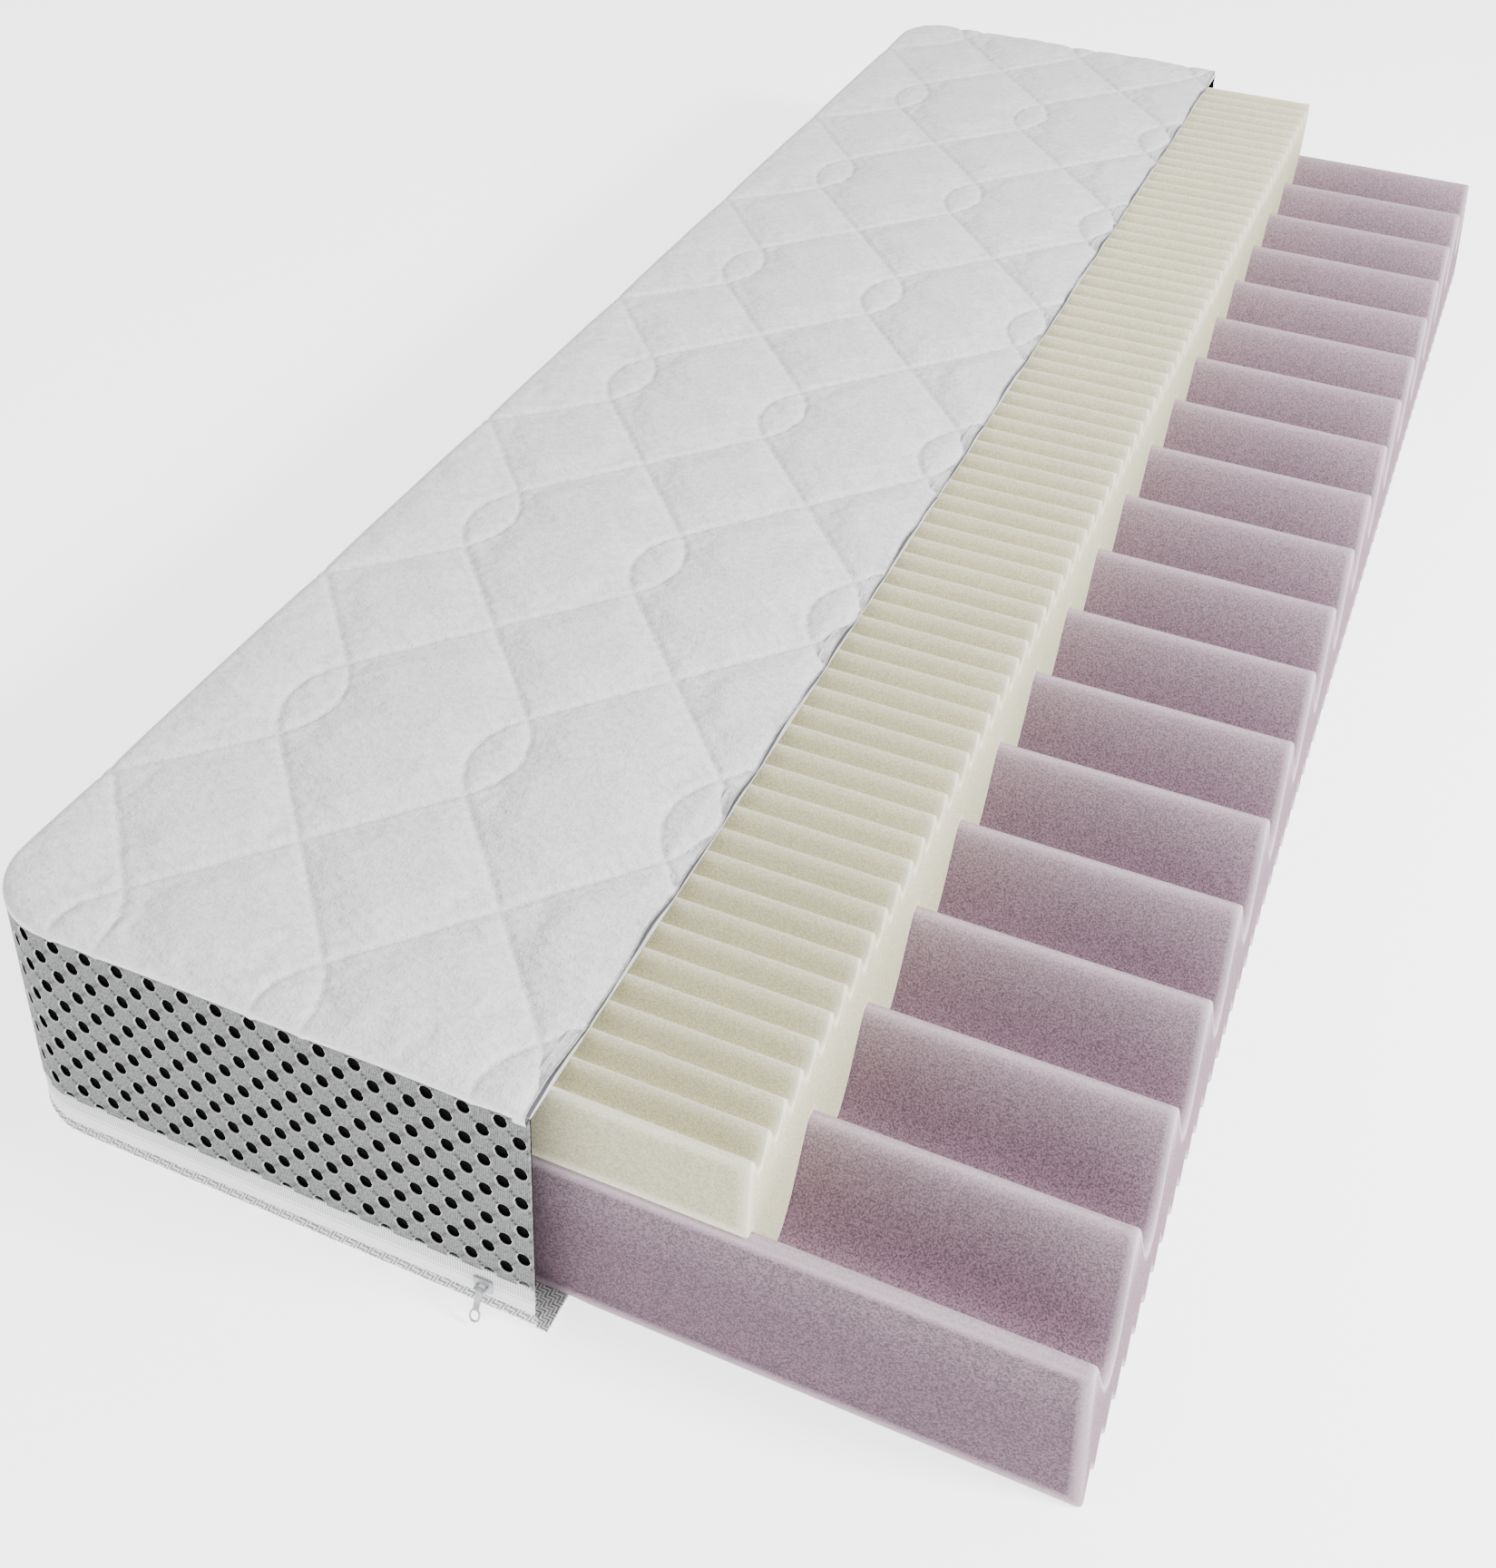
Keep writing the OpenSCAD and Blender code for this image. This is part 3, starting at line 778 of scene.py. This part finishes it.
middles, ways = stitch_points()
stations = np.array([-0.5, -0.3, 0.3, 0.5])
dips = np.array([-0.9, 0.15, 0.15, -0.9])
fat = np.array([0.5, 1.0, 1.0, 0.5])
sides = np.linspace(0, 2 * math.pi, 5)[:-1] + math.pi / 4
plan = middles[:, None, :] + ways[:, None, :] * (stations * STITCH_L)[None, :, None]
px, py = plan[..., 0], plan[..., 1]
t_there = edge_distance(px, py)[0]
height = TOP_Z + np.interp(t_there, EDGE_T, EDGE_RISE) + panel_lift(px, py, t_there)
height = height + dips * STITCH_R * 1.2
across = np.stack([-ways[:, 1], ways[:, 0]], -1)
thread = np.zeros((len(middles), 4, 4, 3))
for k, a in enumerate(sides):
    wide = STITCH_R * 1.25 * fat * math.cos(a)
    thread[:, :, k, 0] = px + across[:, None, 0] * wide
    thread[:, :, k, 1] = py + across[:, None, 1] * wide
    thread[:, :, k, 2] = height + STITCH_R * fat * math.sin(a)
one = np.concatenate([grid_faces(4, 4, wrap=True), [[3, 2, 1, 0]], [[12, 13, 14, 15]]])
thread_faces = (one[None] + 16 * np.arange(len(middles))[:, None, None]).reshape(-1, 4)
fix_normals(make_piece("quilting_thread", thread.reshape(-1, 3), thread_faces, THREAD,
                       "top_cover", "quilted_knit"))


# ---------------------------------------------------------------- mesh border
def mesh_border():
    """Spacer mesh with true oval holes on a staggered lattice, cut by its two seams and its ends."""
    columns = int(ROUND / HOLE_PITCH) + 2
    rows = int((SEAM_Z - mesh_low.z) / (2 * HOLE_ROW)) + 3
    ex, ez = HOLE_PITCH / 2, HOLE_ROW
    square = [(-1, -1), (-0.5, -1), (0, -1), (0.5, -1), (1, -1), (1, -0.5), (1, 0), (1, 0.5), (1, 1),
              (0.5, 1), (0, 1), (-0.5, 1), (-1, 1), (-1, 0.5), (-1, 0), (-1, -0.5)]
    outer = np.array(square) * (ex, ez)
    angle = np.arctan2(outer[:, 1] / HOLE_H, outer[:, 0] / HOLE_W)
    oval = np.stack([np.cos(angle) * HOLE_W, np.sin(angle) * HOLE_H], -1)
    rings = [(outer, 0.0), (oval * 1.14, -0.05 * MM), (oval * 1.05, -0.1 * MM), (oval, 0.3 * MM),
             (oval * 0.98, 0.8 * MM), (oval * 0.98, 2.7 * MM)]
    tile = np.concatenate([np.column_stack([ring, np.full(16, depth)]) for ring, depth in rings])
    faces = grid_faces(len(rings), 16, wrap=True)
    centres = np.array([((i + 0.5) * HOLE_PITCH, mesh_low.z + (2 * j + (i % 2)) * HOLE_ROW)
                        for i in range(-1, columns) for j in range(-1, rows)])
    points = tile[None] + np.column_stack([centres, np.zeros(len(centres))])[:, None, :]
    all_faces = (faces[None] + len(tile) * np.arange(len(centres))[:, None, None]).reshape(-1, 4)
    mesh = bpy.data.meshes.new("spacer_mesh_border")
    mesh.from_pydata(points.reshape(-1, 3).tolist(), [], all_faces.tolist())
    work = bmesh.new()
    work.from_mesh(mesh)
    bmesh.ops.remove_doubles(work, verts=work.verts, dist=0.02 * MM)
    cuts = [((0, 0, 0), (-1, 0, 0)), ((ROUND, 0, 0), (1, 0, 0)),
            ((0, mesh_low.z, 0), (0, -1, 0)), ((0, SEAM_Z + 0.4 * MM, 0), (0, 1, 0))]
    for at, out in cuts:
        everything = work.verts[:] + work.edges[:] + work.faces[:]
        bmesh.ops.bisect_plane(work, geom=everything, dist=1e-7, plane_co=at, plane_no=out, clear_outer=True)
    open_edges = [e for e in work.edges if e.is_boundary and all(v.co.z < 1 * MM for v in e.verts)]
    made = bmesh.ops.extrude_edge_only(work, edges=open_edges)
    for v in (g for g in made["geom"] if isinstance(g, bmesh.types.BMVert)):
        v.co.z = 2.6 * MM
    layer = work.loops.layers.uv.new("cloth")
    for face in work.faces:
        for corner in face.loops:
            corner[layer].uv = (corner.vert.co.x - 0.5 * HOLE_PITCH, corner.vert.co.y - mesh_low.z)
    flat = np.array([v.co for v in work.verts])
    solid = on_cover(np.clip(flat[:, 0], 0, ROUND), flat[:, 2], flat[:, 1])
    depth = flat[:, 2]
    for v, co in zip(work.verts, solid):
        v.co = co
    bmesh.ops.recalc_face_normals(work, faces=work.faces)
    work.to_mesh(mesh)
    work.free()
    mesh.materials.append(SPACER)
    mesh.materials.append(DARK)
    walls = [f.index for f in mesh.polygons if min(depth[v] for v in f.vertices) > 0.25 * MM
             and max(depth[v] for v in f.vertices) > 0.8 * MM]
    for index in walls:
        mesh.polygons[index].material_index = 1
    mesh.polygons.foreach_set("use_smooth", [True] * len(mesh.polygons))
    obj = bpy.data.objects.new("spacer_mesh_border", mesh)
    bpy.context.scene.collection.objects.link(obj)
    shade_by_angle(obj, 55)
    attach(obj, "top_cover")
    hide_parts("mesh_border")
    return obj


mesh_border()
lining = band("mesh_lining", [(3.05 * MM, mesh_low.z + 0.5 * MM), (4 * MM, mesh_low.z + 0.5 * MM),
                              (4 * MM, SEAM_Z - 0.3 * MM), (3.05 * MM, SEAM_Z - 0.3 * MM)],
              20 * MM, DARK, "top_cover", "mesh_lining", ("mesh_border_lining",))

# ---------------------------------------------------------------- zipper and bottom
zip_z = (slider_low.z + slider_high.z) / 2
TAPE_OUT, TAPE_IN = 0.6 * MM, 1.8 * MM
SLIT = 0.35 * MM
tape_upper = band("zipper_tape_top", [
    (TAPE_OUT, zip_z + SLIT), (TAPE_IN, zip_z + SLIT),
    (TAPE_IN, mesh_low.z + 0.3 * MM), (1.1 * MM, mesh_low.z + 0.6 * MM),
    (0.5 * MM, mesh_low.z - 0.4 * MM), (0.35 * MM, mesh_low.z - 3 * MM), (TAPE_OUT, zip_z + 8 * MM)],
    12 * MM, TAPE, "top_cover", "zipper_tape", ("zipper_tape_upper",))
tape_lower = band("zipper_tape_bottom", [
    (TAPE_OUT, zip_z - SLIT), (TAPE_OUT, zip_z - 8 * MM),
    (0.2 * MM, tape_low.z + 1 * MM), (0.6 * MM, tape_low.z - 0.2 * MM),
    (TAPE_IN, tape_low.z), (TAPE_IN, zip_z - SLIT)],
    12 * MM, TAPE, "mattress", "zipper_tape", ("zipper_tape_lower",))


# The bottom fabric folds up all round its closed sides and lies flat under the core past the cut
FOLD_T = np.array([0, 2, 4.5, 7, 10, 13, 16, 20, 26]) * MM
FOLD_OUT = np.array([[0.7, 14], [0.2, 12], [0.0, 9.3], [0.0, 6.2], [0.7, 3.2],
                     [2.6, 1.1], [5.8, 0.3], [11, 0.0], [26, 0]]) * MM
FOLD_IN = np.array([[1.9, 14], [2.6, 12], [2.9, 10], [3.4, 7.6], [4.8, 5.4],
                    [7.0, 3.8], [9.8, 2.9], [13.5, 2.5], [26, 2.4]]) * MM


def folded(gx, gy, fold):
    """Points of one face of the bottom fabric over a square grid."""
    t, both, turn = edge_distance(gx, gy)
    inset = np.interp(t, FOLD_T, fold[:, 0])
    height = np.interp(t, FOLD_T, fold[:, 1])
    flat_z = fold[-1, 1]
    past = np.clip((gx - COVER_CUT + 1 * MM) / (2 * MM), 0, 1)
    side = gx - COVER_LEFT <= HALF_L - np.abs(gy)
    near = t < FOLD_T[-1]
    reach = CORNER_R - inset
    cx, cy = COVER_LEFT + CORNER_R, HALF_L - CORNER_R
    x = np.where(side & near, COVER_LEFT + inset, gx)
    share = t / FOLD_T[-1]
    edge_y = (HALF_L - inset * (1 - past) - past * (t + 1.2 * MM) * np.clip(1 - share, 0, 1)
              - past * t * share)
    y = np.where(~side & near, np.sign(gy) * edge_y, gy)
    x = np.where(both, cx - reach * np.cos(turn), x)
    y = np.where(both, np.sign(gy) * (cy + reach * np.sin(turn)), y)
    return np.stack([x, y, height + (flat_z - height) * past], -1)


def bottom_cover():
    xs = np.unique(np.concatenate([
        COVER_LEFT + np.concatenate([FOLD_T, np.arange(30, 62, 4) * MM]),
        np.linspace(COVER_LEFT + 70 * MM, COVER_CUT - 6 * MM, 36),
        COVER_CUT + np.array([-3, -1, 0, 1, 3]) * MM, np.linspace(COVER_CUT + 5 * MM, bottom_high.x, 3)]))
    ends = np.concatenate([FOLD_T, np.arange(30, 62, 4) * MM])
    ys = np.unique(np.concatenate([-HALF_L + ends, HALF_L - ends,
                                   np.linspace(-HALF_L + 70 * MM, HALF_L - 70 * MM, 160)]))
    gx, gy = np.meshgrid(xs, ys)
    outer, inner = folded(gx, gy, FOLD_OUT), folded(gx, gy, FOLD_IN)
    obj = make_piece("bottom_cover", *closed_slab(inner, outer), CHEVRON, "mattress", "bottom_knit",
                     replaces=("bottom_cover_fabric",))
    fix_normals(obj)
    shade_by_angle(obj, 50)


bottom_cover()


# ---------------------------------------------------------------- zipper coils
COIL_PITCH = 2.2 * MM
COIL_R = 0.42 * MM
COIL_MID = 3.0 * MM
COIL_HALF = 0.72 * MM


def coil(name, low, high, body, node):
    """A nylon coil sewn along the tape's edge: one long flattened spiral."""
    turns = int(ROUND / COIL_PITCH)
    steps = 8
    k = np.arange(turns * steps + 1)
    turn = 2 * math.pi * k / steps
    s = np.clip(k * COIL_PITCH / steps, 0, ROUND)
    inset = COIL_MID + COIL_HALF * np.sin(turn)
    half_z = (high.z - low.z) / 2 - COIL_R - 0.1 * MM
    z = (low.z + high.z) / 2 + half_z * np.cos(turn)
    line = on_cover(s, inset, z)
    ahead = np.gradient(line, axis=0)
    ahead /= np.linalg.norm(ahead, axis=1)[:, None]
    up = np.array([0, 0, 1.0])
    side = np.cross(ahead, up)
    side /= np.linalg.norm(side, axis=1)[:, None]
    up = np.cross(side, ahead)
    angles = np.arange(5) * 2 * math.pi / 5
    points = (line[:, None, :] + COIL_R * (np.cos(angles)[None, :, None] * side[:, None, :]
                                           + np.sin(angles)[None, :, None] * up[:, None, :]))
    rows, cols = points.shape[:2]
    faces = [list(f) for f in grid_faces(rows, cols, wrap=True)]
    faces += [list(range(cols)), list(range((rows - 1) * cols, rows * cols))]
    obj = make_piece(name, points.reshape(-1, 3), faces, NYLON, body, "zipper_coil", replaces=(node,))
    return fix_normals(obj)


coil("zipper_coil_top", coil_up_low, coil_up_high, "top_cover", "zipper_coil_upper")
coil("zipper_coil_bottom", coil_low, coil_high, "mattress", "zipper_coil_lower")

# ---------------------------------------------------------------- slider and pull
for name in ("slider_body", "slider_crown", "pull_tab"):
    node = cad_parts[name]
    node.data.materials.clear()
    node.data.materials.append(METAL)
    node.data.polygons.foreach_set("use_smooth", [True] * len(node.data.polygons))
    node.data.set_sharp_from_angle(angle=math.radians(35))
    weld = node.modifiers.new("weld", "WELD")
    weld.merge_threshold = 0.01 * MM
    bevel = node.modifiers.new("eased", "BEVEL")
    bevel.width = 0.35 * MM
    bevel.segments = 2
    bevel.limit_method = "ANGLE"
    bevel.angle_limit = math.radians(40)
    bevel.harden_normals = False

# ---------------------------------------------------------------- floor, light and camera
floor_mesh = bpy.data.meshes.new("floor")
floor_mesh.from_pydata([(-40, -40, 0), (40, -40, 0), (40, 40, 0), (-40, 40, 0)], [], [(0, 1, 2, 3)])
floor = bpy.data.objects.new("floor", floor_mesh)
bpy.context.scene.collection.objects.link(floor)
floor.location.z = -0.5 * MM
paper = Shader("floor_paper", 0.9, Specular_IOR_Level=0.1)
paper.put(paper.principled.inputs["Emission Color"], (1, 1, 1))
paper.put(paper.principled.inputs["Emission Strength"], 2.2)
floor_mesh.materials.append(paper.finish((0.93, 0.93, 0.93)))

world = bpy.data.worlds.new("studio")
world.use_nodes = True
world.node_tree.nodes["Background"].inputs[0].default_value = (1, 1, 1, 1)
world.node_tree.nodes["Background"].inputs[1].default_value = 1.15
bpy.context.scene.world = world


def area_light(name, at, to, size, power):
    light = bpy.data.lights.new(name, "AREA")
    light.shape, light.size, light.energy = "DISK", size, power
    obj = bpy.data.objects.new(name, light)
    obj.location = at
    obj.rotation_euler = (Vector(to) - Vector(at)).to_track_quat("-Z", "Y").to_euler()
    bpy.context.scene.collection.objects.link(obj)
    return obj


area_light("key", (3.1, -0.5, 2.2), (0.1, 0.0, 0.1), 1.0, 330)
area_light("fill", (-1.5, -3.4, 2.4), (0.0, -0.4, 0.1), 2.5, 12)

camera_data = bpy.data.cameras.new("camera")
camera_data.sensor_width = 36
camera_data.lens = 45.9405
camera_data.shift_x = 0.045
camera_data.shift_y = -0.15
camera_data.clip_start, camera_data.clip_end = 0.05, 60
camera = bpy.data.objects.new("camera", camera_data)
camera.location = (0.4405, -1.7166, 1.1796)
camera.rotation_euler = [math.radians(v) for v in (56.1595, -1.1172, 24.5095)]
bpy.context.scene.collection.objects.link(camera)
bpy.context.scene.camera = camera
